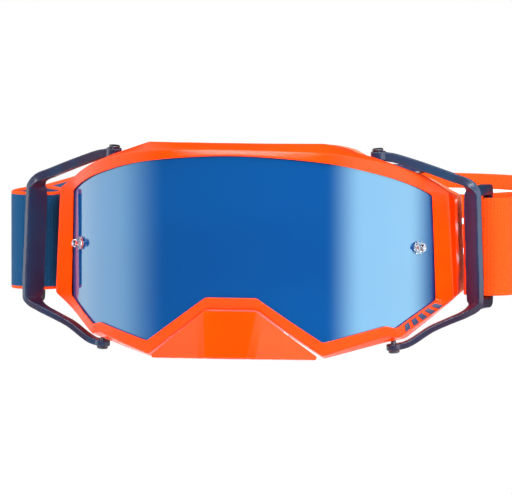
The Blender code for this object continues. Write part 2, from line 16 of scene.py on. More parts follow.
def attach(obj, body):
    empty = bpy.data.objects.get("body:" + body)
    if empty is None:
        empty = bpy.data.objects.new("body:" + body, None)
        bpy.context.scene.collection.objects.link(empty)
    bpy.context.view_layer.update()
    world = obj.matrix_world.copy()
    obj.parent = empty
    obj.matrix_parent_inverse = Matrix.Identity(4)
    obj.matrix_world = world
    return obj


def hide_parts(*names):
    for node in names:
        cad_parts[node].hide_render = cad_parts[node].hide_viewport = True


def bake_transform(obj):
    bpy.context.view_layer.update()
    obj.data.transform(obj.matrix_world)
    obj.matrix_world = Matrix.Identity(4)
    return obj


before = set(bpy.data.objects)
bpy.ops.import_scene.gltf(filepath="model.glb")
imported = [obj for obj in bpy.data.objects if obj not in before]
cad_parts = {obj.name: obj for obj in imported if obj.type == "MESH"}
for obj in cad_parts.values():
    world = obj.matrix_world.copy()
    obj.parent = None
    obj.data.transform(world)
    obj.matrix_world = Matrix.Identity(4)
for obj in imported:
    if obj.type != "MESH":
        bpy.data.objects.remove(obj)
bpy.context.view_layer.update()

MM = 0.001
SIDES = ((1, "left"), (-1, "right"))

# Curved lens and face seat: both follow cylinders with a vertical axis.
LENS_RADIUS = 97.0
LENS_FRONT_Y = -48.0
LENS_HALF_WIDTH = 84.5
SIDE_BAND_SLOPE = 0.3
FACE_RADIUS = 134.0
FLANGE_Y = -16.0

# Depths behind the front surface of the frame.
LIP_FRONT = -0.6
LIP_REAR = 0.6
LENS_FACE = 0.95
LENS_THICKNESS = 1.1
LENS_COLUMNS = 141
LENS_ROWS = 9
GROOVE_REAR = 2.5
INNER_LIP_REAR = 4.3
RIDGE_DEPTH = 0.2
SHOULDER_DEPTH = 6.0
LEDGE_DEPTH = 8.0

# Outline offsets, measured outwards from the edge of the lens window.
GROOVE_MARGIN = 2.2
INNER_LIP_MARGIN = 0.2
INNER_WALL_MARGIN = 1.5

# Wall thicknesses.
FLANGE_THICKNESS = 2.5
WALL_THICKNESS = 2.4

# Half outlines of the frame, from the top centre round the wearer's left to the bottom centre.
STRETCH_STEPS = (9, 6, 4, 4, 6, 6, 3, 6, 6, 4)
SMOOTH_STRETCHES = 4
WINDOW = [(0, 43), (41, 39.8), (66.7, 33), (79.7, 26.6), (83.8, 23.3), (85.2, -24.8),
          (70.7, -36.7), (66.7, -35.4), (41, -42.4), (11.8, -21.7), (0, -21.7)]
RIDGE = [(0, 46.4), (41, 44.3), (66, 39.2), (80.2, 32), (90.8, 24.4), (93.2, -24),
         (71.5, -41.2), (67.3, -39.8), (40.5, -48.4), (12, -27), (0, -27)]
SHOULDER = [(0, 48.6), (41, 48.3), (61, 41.6), (79, 33.2), (92.4, 22.4), (93.6, -23.2),
            (73, -42), (66, -43.2), (40.5, -50), (10.5, -29.5), (0, -29.5)]
LEDGE = [(0, 47.8), (41, 47.2), (56.5, 38.9), (78, 30.8), (92.2, 22), (93.2, -22.8),
         (74, -39.6), (66.5, -39.8), (38, -48.6), (10.5, -28), (0, -28)]
SEAT = [(0, 46.5), (41, 46), (58, 37.8), (79, 30.2), (91.5, 22), (92.8, -22.5),
        (74, -39.2), (66, -39.2), (38, -46.5), (15, -24), (0, -18)]
FLANGE_EDGE = [(0, 37.5), (40, 36.8), (57, 29.2), (73, 22.6), (82.5, 16.5), (83.8, -17.5),
               (69.5, -30.5), (63, -31), (43, -36.8), (21, -17), (0, -8.5)]

# Support points this far from a corner keep it crisp when the cage is subdivided.
CORNER_SUPPORT = 1.6
EDGE_SUPPORT = 0.7
MOST_SUPPORT = 0.3

# Face foam, from the frame's flange to the face.
# Each layer: node, thickness, how far its sides swell, material and slot.
FOAM_LAYERS = (("face_foam_base", 6.0, 0.315, "foam_base", "foam_base"),
               ("face_foam_middle", 7.0, 0.7, "foam_middle", "foam_middle"),
               ("face_foam_fleece", 2.1, 0.245, "fleece", "foam_fleece"))
FOAM_GAP = 0.3
FOAM_EDGE = 0.8
FOAM_TUCK = 0.5
FOAM_FACE_TUCK = 1.0

# Ventilation.
TOP_VENTS = 7
TOP_VENT_PITCH = 13.0
TOP_VENT_SIZE = (8.0, 9.0, 14.0)
TOP_VENT_Y = -27.0
TOP_VENT_CURVE = 0.35
TOP_VENT_RISE = 3.0
BOTTOM_VENT_XS = (47.0, 58.0)
BOTTOM_VENT_SIZE = (7.0, 9.0, 14.0)
BOTTOM_VENT_REAR = 1.5
BOTTOM_VENT_SLOPE = 0.4
VENT_CORNER = 1.6
VENT_FOAM_THICKNESS = 3.0
VENT_FOAM_GAP = 0.6

# Tear-off posts and their washers, turned about the lens normal.
POST_X = 78.6
POST_Z = -0.3
POST_HOLE_RADIUS = 1.6
POST_PROFILE = [(0, 4.4), (1.3, 4.4), (1.85, 3.7), (1.85, 2.9), (1.2, 2.3), (1.2, 1.2),
                (2.95, 1.1), (2.95, 0.4), (1.2, 0.3), (1.2, -3.5), (0, -3.5)]
WASHER_PROFILE = [(1.6, -1.4), (3.4, -1.4), (3.4, -2.6), (1.6, -2.6)]
TURN_STEPS = 40

# Nose guard: Y is measured from the front of the lens.
GUARD_UPPER = [(0, -1.7, -27.6), (12.1, -1.7, -27.6), (15.5, -0.7, -30.4), (38.6, 7.4, -48.5)]
GUARD_LOWER = [(0, -11.3, -48.2), (9.5, -11.2, -48.2), (13.5, -9.4, -48.5), (38.3, 6.9, -49.8)]
GUARD_THICKNESS = 1.8
GUARD_PEG = (24.0, -38.2)
GUARD_PEG_RADIUS = 1.0
GUARD_PEG_SLACK = 0.4

# Emblem: slanted bars on the chamfer that starts at this corner of the outlines, placed as
# shares of its length; a bar's corners are shares along and across the chamfer.
EMBLEM_CHAMFER = 5
EMBLEM_BARS = 5
EMBLEM_BAR = ((0, 0.2), (0.09, 0.2), (0.15, 0.86), (0.06, 0.86))
EMBLEM_START = 0.12
EMBLEM_PITCH = 0.15
EMBLEM_LIFT = 0.4

# Outriggers, wearer's left. Each row is a point of the centre line, the direction of the
# section's width in the XY plane in degrees, and the section's width and height.
HINGE_PINS = [(61.6, -14.2, 41.9), (68, -10, -45.7)]
OUTRIGGER_HOOP = [((63.9, -13.2, 41.55), 114, 5, 4.2), ((66, -12.3, 41.2), 114, 5, 4.2),
                  ((70, -10.4, 40.3), 114, 5, 4.2), ((81, -5.5, 36.4), 114, 5, 4.2),
                  ((92.7, -0.5, 31.8), 114, 5.2, 4.2), ((99.6, 2.5, 28.9), 119, 6.4, 4),
                  ((102.1, 3.6, 25), 130, 9, 3.4), ((102, 3.4, 20.5), 137, 10, 3),
                  ((102.7, 2.75, -1.1), 137, 10, 3), ((103.4, 2.2, -22.5), 137, 10, 3),
                  ((103.3, 2.2, -27), 130, 8.6, 3.2), ((99.2, 1.2, -30.8), 118, 5.6, 3.1),
                  ((91.5, -1.6, -34.3), 109, 5, 3), ((84, -4, -37.8), 109, 5, 3),
                  ((76.5, -6.6, -42.9), 110, 5, 3), ((72.5, -8.3, -44.9), 112, 5, 3),
                  ((70.2, -9.2, -45.3), 112, 5, 3)]
OUTRIGGER_SLOT = [((102.2, 3.6, 24.9), 180, 4.5, 4.6), ((104, 13, 24.9), 180, 4.5, 4.6),
                  ((104.8, 21.5, 24.9), 180, 4.3, 4.6), ((105, 24.5, 22), 180, 4, 5),
                  ((105, 24.5, -1), 180, 4, 5), ((105, 24.5, -24), 180, 4, 5),
                  ((104.8, 21.5, -26.7), 180, 4.3, 4.6), ((104.2, 13, -26.7), 180, 4.5, 4.6),
                  ((103.6, 3.2, -26.7), 180, 4.5, 4.6)]
EYE_RADIUS = 3.4
EYE_BORE_RADIUS = 1.65
EYE_HEIGHTS = (4.2, 3.0)
MOULDING_VOXEL = 0.35
OUTRIGGER_RELAX = 5
SLIDER_RELAX = 4

# Strap: a loop round the head, made of two halves that lap over each other at the back.
STRAP_WIDTH = 45.0
STRAP_THICKNESS = 1.5
STRAP_Z = -0.8
STRAP_SIDE_X = 112.0
STRAP_SIDE_Y = 72.0
STRAP_BACK_Y = 190.0
STRAP_CORNER_RADIUS = 62.0
STRAP_LAP = 12.0
STRAP_LAP_OFFSET = 1.9
SEWN_END = [(110.0, 66.5), (109.9, 62.0), (108.6, 58.0)]
FOLD_PATH = [(107.0, 55.4), (101.5, 48), (97, 36), (95.2, 24), (96.0, 16.0), (99.2, 12.4),
             (103.6, 11.6), (111.0, 12.8), (116.2, 18), (118.0, 28), (117.6, 40),
             (115.4, 52), (112.2, 61)]
EASED_POINTS = 3        # the first points of the side are eased into the fold
STITCH_BOX_YS = (60.0, 70.0)
STITCH_MARGIN = 3.0
STITCH_PITCH = 2.4
GRIP_OFFSETS = (-14.0, 0.0, 14.0)
GRIP_END_POINTS = 4     # the grip lines stop this many points before the strap's end
GRIP_WIDTH = 3.0
GRIP_THICKNESS = 0.8
GRIP_GAP = 0.35

# The weave, in metres.
RIB_PITCH = 0.0016
CORD_PITCH = 0.0011
BORDER_WIDTH = 0.0014
BORDER_BLUR = 0.0002

# Camera: its direction from the goggles, in degrees, and how wide the view is at the goggles.
CAMERA_AZIMUTH = 12.0
CAMERA_ELEVATION = 3.8
CAMERA_DISTANCE = 8000.0
CAMERA_AIM = (11.9, -48.3, 1.5)
VIEW_WIDTH = 232.7

# Soft panels round the goggles, in degrees: the direction of each panel's middle (azimuth from
# the front towards the wearer's left, elevation), its half size, its soft edge and its strength.
PANELS = (
    ((75.5, 12.0), (14.0, 42.0), (22.0, 15.0), 4.1),
    ((-100.0, 12.0), (14.0, 42.0), (36.0, 15.0), 2.1),
    ((-4.0, 23.0), (38.0, 2.5), (8.0, 2.5), 30.0),
)
AMBIENT = 0.1
OVERHEAD = 0.25

# Area lights: direction, distance in millimetres, size in metres and power in watts.
AREA_LIGHTS = (
    ("key_light", (-6.0, 68.0), 1300.0, 0.5, 3.4),
    ("side_light", (65.0, 40.0), 1300.0, 0.5, 3.0),
    ("rear_light", (180.0, 45.0), 1300.0, 0.7, 4.0),
)

FLOOR_HALF_WIDTH = 1500.0
FLOOR_Z = -350.0


# ---------------------------------------------------------------- shapes

def lens_y(x):
    """Y of the lens cylinder."""
    return LENS_FRONT_Y + LENS_RADIUS - math.sqrt(LENS_RADIUS ** 2 - x ** 2)


def band_y(x):
    """Y of the frame's front: the lens cylinder, then a nearly flat band outside the lens."""
    inside = min(abs(x), LENS_HALF_WIDTH)
    return lens_y(inside) + SIDE_BAND_SLOPE * (abs(x) - inside)


def face_y(x):
    """Y of the flange that carries the face foam."""
    return FLANGE_Y + FACE_RADIUS - math.sqrt(FACE_RADIUS ** 2 - x ** 2)


def smooth_point(before, start, end, after, share):
    """A Catmull-Rom point between start and end."""
    b, s, e, a = (np.array(p, dtype=float) for p in (before, start, end, after))
    curve = 2 * s + (e - b) * share + (2 * b - 5 * s + 4 * e - a) * share ** 2
    curve = curve + (3 * s - b - 3 * e + a) * share ** 3
    return curve / 2


def smooth_path(points, step):
    """A curve through the points, with a point about every step."""
    points = [np.array(p, dtype=float) for p in points]
    padded = [2 * points[0] - points[1]] + points + [2 * points[-1] - points[-2]]
    path = []
    for k in range(len(points) - 1):
        count = max(1, round(np.linalg.norm(points[k + 1] - points[k]) / step))
        path += [smooth_point(*padded[k:k + 4], i / count) for i in range(count)]
    return path + [points[-1]]


def full_outline(corners, smooth=True):
    """The closed outline, with support points by its corners, mirrored across X = 0."""
    half = []
    for index, steps in enumerate(STRETCH_STEPS):
        start, end = np.array(corners[index], float), np.array(corners[index + 1], float)
        if smooth and index < SMOOTH_STRETCHES - 1:
            before = corners[index - 1] if index else (-corners[1][0], corners[1][1])
            half += [smooth_point(before, start, end, corners[index + 2], k / steps)
                     for k in range(steps)]
            continue
        near = min(MOST_SUPPORT, CORNER_SUPPORT / np.linalg.norm(end - start))
        shares = [0.0] + list(np.linspace(near, 1 - near, steps - 1))
        half += [start + (end - start) * share for share in shares]
    half.append(np.array(corners[-1], float))
    outline = [tuple(p) for p in half]
    return outline + [(-x, z) for x, z in reversed(outline[1:-1])]


def stretch_start(index):
    """The position in full_outline() where a stretch begins."""
    return sum(STRETCH_STEPS[:index])


def offset_outline(outline, distance):
    """The outline moved outwards by a distance, mitred at its corners."""
    points = np.array(outline, dtype=float)
    along = np.roll(points, -1, axis=0) - points
    along /= np.linalg.norm(along, axis=1)[:, None]
    normals = np.column_stack([-along[:, 1], along[:, 0]])
    bisectors = normals + np.roll(normals, 1, axis=0)
    bisectors /= np.linalg.norm(bisectors, axis=1)[:, None]
    mitre = np.clip(np.sum(bisectors * normals, axis=1), 0.6, 1.0)
    return [tuple(p) for p in points + bisectors * (distance / mitre)[:, None]]


def band_loop(outline, depth):
    return [(x, band_y(x) + depth, z) for x, z in outline]


def lens_loop(outline, depth):
    return [(x, lens_y(x) + depth, z) for x, z in outline]


def seat_loop(outline, depth):
    return [(x, face_y(x) + depth, z) for x, z in outline]


def supported(loops, distance, closed=True):
    """Adds a loop on both sides of every loop, a little way along the surface."""
    loops = [np.array(loop, float) for loop in loops]
    out = []
    for k, start in enumerate(loops):
        if k == len(loops) - 1 and not closed:
            out.append(start)
            break
        end = loops[(k + 1) % len(loops)]
        length = np.linalg.norm(end - start, axis=1)[:, None]
        share = np.minimum(MOST_SUPPORT, distance / np.maximum(length, 1e-6))
        out += [start, start + (end - start) * share, end - (end - start) * share]
    return out


def add_mesh(name, vertices, faces):
    """A mesh object from points in millimetres, shaded smooth, its faces turned outwards."""
    mesh = bpy.data.meshes.new(name)
    mesh.from_pydata([Vector(v) * MM for v in vertices], [], faces)
    shape = bmesh.new()
    shape.from_mesh(mesh)
    bmesh.ops.recalc_face_normals(shape, faces=shape.faces)
    for face in shape.faces:
        face.smooth = True
    shape.to_mesh(mesh)
    shape.free()
    made = bpy.data.objects.new(name, mesh)
    bpy.context.scene.collection.objects.link(made)
    return made


def grid_mesh(name, rows, closed_rows=False, closed_columns=False, caps=False):
    """A surface through rows of points; with caps its first and last rows are filled."""
    count, width = len(rows), len(rows[0])
    faces = []
    for r in range(count if closed_rows else count - 1):
        for c in range(width if closed_columns else width - 1):
            below, beside = (r + 1) % count, (c + 1) % width
            faces.append((r * width + c, r * width + beside,
                          below * width + beside, below * width + c))
    if caps:
        faces.append(tuple(range(width)))
        faces.append(tuple((count - 1) * width + c for c in reversed(range(width))))
    return add_mesh(name, [p for row in rows for p in row], faces)


def subdivide(piece, levels):
    modifier = piece.modifiers.new("Subdivision", "SUBSURF")
    modifier.levels = modifier.render_levels = levels


def settle(piece):
    """Applies a piece's modifiers, so that its mesh is final."""
    graph = bpy.context.evaluated_depsgraph_get()
    mesh = bpy.data.meshes.new_from_object(piece.evaluated_get(graph))
    piece.modifiers.clear()
    piece.data = mesh
    return piece


def cut(piece, cutters):
    """Cuts a piece with several cutters at once, and removes them."""
    group = bpy.data.collections.new("cuts")
    for cutter in cutters:
        group.objects.link(cutter)
    modifier = piece.modifiers.new("Cuts", "BOOLEAN")
    modifier.operation = "DIFFERENCE"
    modifier.solver = "EXACT"
    modifier.operand_type = "COLLECTION"
    modifier.collection = group
    settle(piece)
    for cutter in cutters:
        bpy.data.objects.remove(cutter)
    bpy.data.collections.remove(group)


def rounded_box(name, size, place, corner):
    """A box whose upright edges are rounded."""
    half_x, half_y, half_z = (s / 2 for s in size)
    steps = 5
    ring = []
    for quarter, (sx, sy) in enumerate(((1, 1), (-1, 1), (-1, -1), (1, -1))):
        for step in range(steps + 1):
            angle = math.radians(90 * (quarter + step / steps))
            ring.append((sx * (half_x - corner) + corner * math.cos(angle),
                         sy * (half_y - corner) + corner * math.sin(angle)))
    rows = [[tuple(place @ Vector((x, y, z))) for x, y in ring] for z in (-half_z, half_z)]
    box = grid_mesh(name, rows, closed_columns=True, caps=True)
    weld(box)
    return box


def turned_mesh(name, profile, base, axis, closed):
    """A round piece from (radius, height) pairs; a closed profile makes a ring."""
    turn = axis.to_track_quat("Z", "Y").to_matrix()
    loops = supported([np.array([(r, 0.0, h)]) for r, h in profile], 0.12, closed)
    rows = []
    for loop in loops:
        radius, _, height = loop[0]
        row = []
        for step in range(TURN_STEPS):
            angle = 2 * math.pi * step / TURN_STEPS
            place = Vector((radius * math.cos(angle), radius * math.sin(angle), height))
            row.append(tuple(base + turn @ place))
        rows.append(row)
    piece = grid_mesh(name, rows, closed_rows=closed, closed_columns=True)
    weld(piece)
    subdivide(piece, 1)
    return settle(piece)


def weld(piece):
    """Merges the points that lie on each other."""
    shape = bmesh.new()
    shape.from_mesh(piece.data)
    bmesh.ops.remove_doubles(shape, verts=shape.verts, dist=0.00001)
    bmesh.ops.recalc_face_normals(shape, faces=shape.faces)
    shape.to_mesh(piece.data)
    shape.free()


WINDOW_LOOP = full_outline(WINDOW)
SEAT_LOOP = full_outline(SEAT)
INNER_WALL_FRONT = offset_outline(WINDOW_LOOP, INNER_WALL_MARGIN)
INNER_WALL_REAR = offset_outline(SEAT_LOOP, -WALL_THICKNESS)


# ---------------------------------------------------------------- materials

def new_material(name, colour, roughness, metallic=0.0, **sockets):
    """A Principled material; sockets are given by name, with _ for a space."""
    made = bpy.data.materials.new(name)
    made.use_nodes = True
    shader = made.node_tree.nodes["Principled BSDF"]
    shader.inputs["Base Color"].default_value = (*colour, 1.0)
    shader.inputs["Roughness"].default_value = roughness
    shader.inputs["Metallic"].default_value = metallic
    for socket, value in sockets.items():
        shader.inputs[socket.replace("_", " ")].default_value = value
    return made


def add_node(made, kind, **settings):
    node = made.node_tree.nodes.new(kind)
    for key, value in settings.items():
        setattr(node, key, value)
    return node


def link(made, output, socket):
    made.node_tree.links.new(output, socket)


def shader_of(made):
    return made.node_tree.nodes["Principled BSDF"]


def drive(made, socket, output):
    """Links an output to a socket of the shader."""
    link(made, output, shader_of(made).inputs[socket])


def noise(made, scale, detail=3.0, stretch=(1.0, 1.0, 1.0)):
    """Noise in the object's own metres; scale is in cycles a metre."""
    place = add_node(made, "ShaderNodeTexCoord")
    mapping = add_node(made, "ShaderNodeMapping")
    mapping.inputs["Scale"].default_value = stretch
    texture = add_node(made, "ShaderNodeTexNoise")
    texture.inputs["Scale"].default_value = scale
    texture.inputs["Detail"].default_value = detail
    link(made, place.outputs["Object"], mapping.inputs["Vector"])
    link(made, mapping.outputs["Vector"], texture.inputs["Vector"])
    return texture.outputs["Fac"]


def map_range(made, value, low, high, from_low=0.0, from_high=1.0):
    node = add_node(made, "ShaderNodeMapRange", interpolation_type="SMOOTHSTEP")
    node.inputs["From Min"].default_value = from_low
    node.inputs["From Max"].default_value = from_high
    node.inputs["To Min"].default_value = low
    node.inputs["To Max"].default_value = high
    link(made, value, node.inputs["Value"])
    return node.outputs["Result"]


def calculate(made, operation, first, second=None):
    """A Math node; each input is another output or a number."""
    node = add_node(made, "ShaderNodeMath", operation=operation)
    for socket, value in zip(node.inputs, (first, second)):
        if value is None:
            continue
        if isinstance(value, (int, float)):
            socket.default_value = value
        else:
            link(made, value, socket)
    return node.outputs[0]


def mix_colours(made, share, first, second):
    node = add_node(made, "ShaderNodeMix", data_type="RGBA")
    link(made, share, node.inputs["Factor"])
    for socket, value in ((node.inputs[6], first), (node.inputs[7], second)):
        if isinstance(value, tuple):
            socket.default_value = (*value, 1.0)
        else:
            link(made, value, socket)
    return node.outputs[2]


def tint(made, pattern, low, high, first, second):
    """Fades the surface from one colour to another as a pattern goes from low to high."""
    share = map_range(made, pattern, 0.0, 1.0, low, high)
    drive(made, "Base Color", mix_colours(made, share, first, second))


def bump(made, height, distance, strength=1.0):
    """Sets the surface bump; distance is the height in metres that a value of 1 stands for."""
    node = add_node(made, "ShaderNodeBump")
    node.inputs["Strength"].default_value = strength
    node.inputs["Distance"].default_value = distance
    link(made, height, node.inputs["Height"])
    drive(made, "Normal", node.outputs["Normal"])


def gloss_plastic(name, colour, deep_colour, roughness):
    """Moulded and lacquered plastic: faint colour clouds, fine orange peel, uneven gloss."""
    made = new_material(name, colour, roughness, Specular_IOR_Level=0.13,
                        Coat_Weight=0.02, Coat_Roughness=0.05)
    tint(made, noise(made, 35.0, 2.0), 0.3, 0.7, colour, deep_colour)
    grain = noise(made, 900.0, 2.0)
    drive(made, "Roughness", map_range(made, grain, roughness * 0.8, roughness * 1.3))
    bump(made, noise(made, 420.0, 1.0), 0.00002, 0.35)
    return made


def satin_nylon(name, colour, deep_colour):
    """Glass-filled nylon: satin, with a fine moulded texture and slight flow marks; on the
    outriggers the flow-mark tint is purple, a painted reflection of the orange frame.
    """
    made = new_material(name, colour, 0.3, Specular_IOR_Level=0.35, Coat_Weight=0.08,
                        Coat_Roughness=0.2)
    tint(made, noise(made, 60.0, 3.0, (1.0, 1.0, 0.25)), 0.35, 0.65, colour, deep_colour)
    texture = noise(made, 1800.0, 2.0)
    drive(made, "Roughness", map_range(made, texture, 0.24, 0.38))
    bump(made, texture, 0.00003, 0.4)
    return made


def mirror_coating(name):
    """Blue mirrored polycarbonate: a deep blue body under a bright, slightly cyan reflection."""
    made = new_material(name, LENS_BLUE, 0.05, IOR=2.1, Specular_Tint=(0.55, 0.97, 1.0, 1.0))
    tint(made, noise(made, 14.0, 1.0, (0.4, 0.4, 1.6)), 0.35, 0.65, LENS_BLUE, DEEP_LENS_BLUE)
    drive(made, "Roughness", map_range(made, noise(made, 500.0, 2.0), 0.04, 0.07))
    return made


def clear_plastic(name):
    made = new_material(name, (0.95, 0.97, 1.0), 0.03, Transmission_Weight=1.0, IOR=1.49)
    bump(made, noise(made, 700.0, 1.0), 0.00001, 0.2)
    return made


def blackened_steel(name):
    made = new_material(name, (0.07, 0.075, 0.09), 0.3, 1.0)
    streaks = noise(made, 500.0, 4.0, (1.0, 1.0, 8.0))
    drive(made, "Roughness", map_range(made, streaks, 0.22, 0.42))
    bump(made, streaks, 0.00001, 0.3)
    return made


def open_foam(name, colour, pore_scale, depth):
    """Open-cell foam: lighter cell walls, with the pores between them painted darker as painted
    shade.
    """
    made = new_material(name, colour, 0.95, Sheen_Weight=0.2)
    place = add_node(made, "ShaderNodeTexCoord")
    cells = add_node(made, "ShaderNodeTexVoronoi", feature="F1")
    cells.inputs["Scale"].default_value = pore_scale
    link(made, place.outputs["Object"], cells.inputs["Vector"])
    wall = map_range(made, cells.outputs["Distance"], 0.0, 1.0, 0.15, 0.6)
    # painted shade: the pores are darkened towards their middles, where shade falls into them
    painted_shade_colour = tuple(0.35 * c for c in colour)
    drive(made, "Base Color", mix_colours(made, wall, painted_shade_colour, colour))
    bump(made, wall, depth, 0.8)
    return made


def fleece(name, colour, tip_colour):
    """Brushed microfibre: short matted fibres with a soft sheen."""
    made = new_material(name, colour, 1.0, Sheen_Weight=0.6, Sheen_Roughness=0.5)
    fibres = noise(made, 2600.0, 4.0, (1.0, 1.0, 0.35))
    tint(made, fibres, 0.4, 0.75, colour, tip_colour)
    bump(made, fibres, 0.0003, 0.7)
    return made


def silicone(name):
    made = new_material(name, (0.72, 0.74, 0.77), 0.35, Subsurface_Weight=0.15,
                        Subsurface_Scale=0.001)
    drive(made, "Roughness", map_range(made, noise(made, 800.0, 2.0), 0.3, 0.45))
    bump(made, noise(made, 1500.0, 2.0), 0.00003, 0.4)
    return made


def thread(name, colour):
    made = new_material(name, colour, 0.6, Sheen_Weight=0.4)
    twist = noise(made, 3000.0, 2.0, (1.0, 3.0, 1.0))
    bump(made, twist, 0.0001, 0.6)
    return made


def webbing(name, face_colour, edge_colour, edge_width):
    """Woven webbing: a grid of ribs along and across the band, painted darker between the ribs and
    lighter on their tops as painted shade and highlight, and a border along each edge.

    The mesh carries its place along and across the band, in metres, in its UV map.
    """
    made = new_material(name, face_colour, 0.85, Specular_IOR_Level=0.12, Sheen_Weight=0.05,
                        Sheen_Roughness=0.4)
    place = add_node(made, "ShaderNodeUVMap", uv_map="band")
    parts = add_node(made, "ShaderNodeSeparateXYZ")
    link(made, place.outputs["UV"], parts.inputs["Vector"])
    along, across = parts.outputs["X"], parts.outputs["Y"]
    rib = calculate(made, "SINE", calculate(made, "MULTIPLY", along, 2 * math.pi / RIB_PITCH))
    cord = calculate(made, "SINE",
                     calculate(made, "MULTIPLY", across, 2 * math.pi / CORD_PITCH))
    crossed = calculate(made, "MULTIPLY", rib, cord)
    height = calculate(made, "ADD", crossed, calculate(made, "MULTIPLY", rib, 0.45))
    height = map_range(made, height, 0.0, 1.0, -1.2, 1.2)
    fuzz = noise(made, 1500.0, 3.0)
    # painted shade and highlight: the colour follows the ribs' height, darker in the hollows and
    # lighter on the tops; the fuzz adds random tone
    shade = calculate(made, "ADD", calculate(made, "MULTIPLY", height, 0.8),
                      calculate(made, "MULTIPLY", fuzz, 0.4))
    painted_shade_colour = tuple(0.55 * c for c in face_colour)
    light = tuple(min(1.0, 1.08 * c + 0.004) for c in face_colour)
    shaded_weave = mix_colours(made, shade, painted_shade_colour, light)
    if edge_width:
        offset = calculate(made, "ABSOLUTE", across)
        start = STRAP_WIDTH * MM / 2 - edge_width
        edge = map_range(made, offset, 0.0, 1.0, start - BORDER_BLUR, start + BORDER_BLUR)
        shaded_weave = mix_colours(made, edge, shaded_weave, edge_colour)
    drive(made, "Base Color", shaded_weave)
    bump(made, shade, 0.00028, 0.9)
    return made


ORANGE = (0.95, 0.0442, 0.0)
DEEP_ORANGE = (0.92, 0.0377, 0.0)
NAVY = (0.0032, 0.0186, 0.0544)
DEEP_NAVY = (0.012, 0.025, 0.075)
# painted reflection of the orange frame on the navy, used as the outriggers' deep colour
REFLECTED_ORANGE_PURPLE = (0.0135, 0.00525, 0.021)
LENS_BLUE = (0.0, 0.045, 0.18)
DEEP_LENS_BLUE = (0.0, 0.04, 0.168)
WEB_ORANGE = (0.93, 0.0663, 0.0016)
WEB_BLUE = (0.0016, 0.0562, 0.151)

MATERIALS = {
    "frame": gloss_plastic("frame_gloss_orange", ORANGE, DEEP_ORANGE, 0.16),
    "guard": gloss_plastic("guard_gloss_orange", ORANGE, DEEP_ORANGE, 0.16),
    "lens": mirror_coating("lens_blue_mirror"),
    "clear": clear_plastic("post_clear"),
    "steel": blackened_steel("pin_steel"),
    # The outriggers' deep colour is purple: a painted reflection of the orange frame, mixed in at
    # random by the flow-mark noise.
    "outrigger": satin_nylon("outrigger_navy", NAVY, REFLECTED_ORANGE_PURPLE),
    "slider": satin_nylon("slider_navy", NAVY, DEEP_NAVY),
    "emblem": satin_nylon("emblem_navy", (0.006, 0.02, 0.07), DEEP_NAVY),
    "vent_foam": open_foam("vent_foam_grey", (0.05, 0.05, 0.055), 900.0, 0.0006),
    "foam_base": open_foam("foam_base_grey", (0.055, 0.055, 0.06), 1300.0, 0.0004),
    "foam_middle": open_foam("foam_middle_orange", (0.85, 0.12, 0.01), 1600.0, 0.0003),
    "fleece": fleece("foam_fleece_black", (0.012, 0.012, 0.014), (0.05, 0.05, 0.055)),
    "strap_left": webbing("webbing_orange", WEB_ORANGE, WEB_BLUE, 0.0),
    "strap_right": webbing("webbing_blue", WEB_BLUE, WEB_ORANGE, BORDER_WIDTH),
    "silicone": silicone("grip_silicone"),
    "thread_left": thread("thread_orange", (0.75, 0.08, 0.005)),
    "thread_right": thread("thread_navy", (0.005, 0.04, 0.12)),
}


def paint(piece, key):
    piece.data.materials.clear()
    piece.data.materials.append(MATERIALS[key])


def place_piece(piece, body, key, slot, *nodes):
    """Gives a piece its material and its body, and hides the nodes it stands for; the slot is not
    used.
    """
    paint(piece, key)
    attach(piece, body)
    if nodes:
        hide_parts(*nodes)
    return piece


# ---------------------------------------------------------------- frame, lens and nose guard

def make_frame():
    """The moulded shell: a cage through the profile loops, subdivided, then cut for air."""
    flange_inner = full_outline(FLANGE_EDGE)
    groove = offset_outline(WINDOW_LOOP, GROOVE_MARGIN)
    inner_lip = offset_outline(WINDOW_LOOP, INNER_LIP_MARGIN)
    loops = [
        band_loop(WINDOW_LOOP, LIP_FRONT),
        band_loop(full_outline(RIDGE), RIDGE_DEPTH),
        band_loop(full_outline(SHOULDER, smooth=False), SHOULDER_DEPTH),
        band_loop(full_outline(LEDGE), LEDGE_DEPTH),
        seat_loop(SEAT_LOOP, 0.0),
        seat_loop(flange_inner, 0.0),
        seat_loop(flange_inner, -FLANGE_THICKNESS),
        seat_loop(INNER_WALL_REAR, -FLANGE_THICKNESS),
        lens_loop(INNER_WALL_FRONT, INNER_LIP_REAR),
        lens_loop(inner_lip, INNER_LIP_REAR),
        lens_loop(inner_lip, GROOVE_REAR),
        lens_loop(groove, GROOVE_REAR),
        lens_loop(groove, LIP_REAR),
        lens_loop(WINDOW_LOOP, LIP_REAR),
    ]
    shell = grid_mesh("frame_shell", supported(loops, EDGE_SUPPORT), True, True)
    subdivide(shell, 1)
    settle(shell)
    cut(shell, vent_cutters() + peg_cutters())
    return place_piece(shell, "goggle", "frame", "frame_orange", "frame")


def vent_cutters():
    cutters = []
    for index in range(TOP_VENTS):
        x = (index - (TOP_VENTS - 1) / 2) * TOP_VENT_PITCH
        y = TOP_VENT_Y + TOP_VENT_CURVE * (lens_y(x) - LENS_FRONT_Y)
        place = Matrix.Translation((x, y, WINDOW[0][1] + TOP_VENT_RISE))
        cutters.append(rounded_box("top_vent", TOP_VENT_SIZE, place, VENT_CORNER))
    corner_x, corner_z = WINDOW[8]
    for side, _ in SIDES:
        for x in BOTTOM_VENT_XS:
            y = (lens_y(x) + face_y(x)) / 2 + BOTTOM_VENT_REAR
            z = corner_z + BOTTOM_VENT_SLOPE * (x - corner_x)
            place = Matrix.Translation((side * x, y, z))
            cutters.append(rounded_box("bottom_vent", BOTTOM_VENT_SIZE, place, VENT_CORNER))
    return cutters


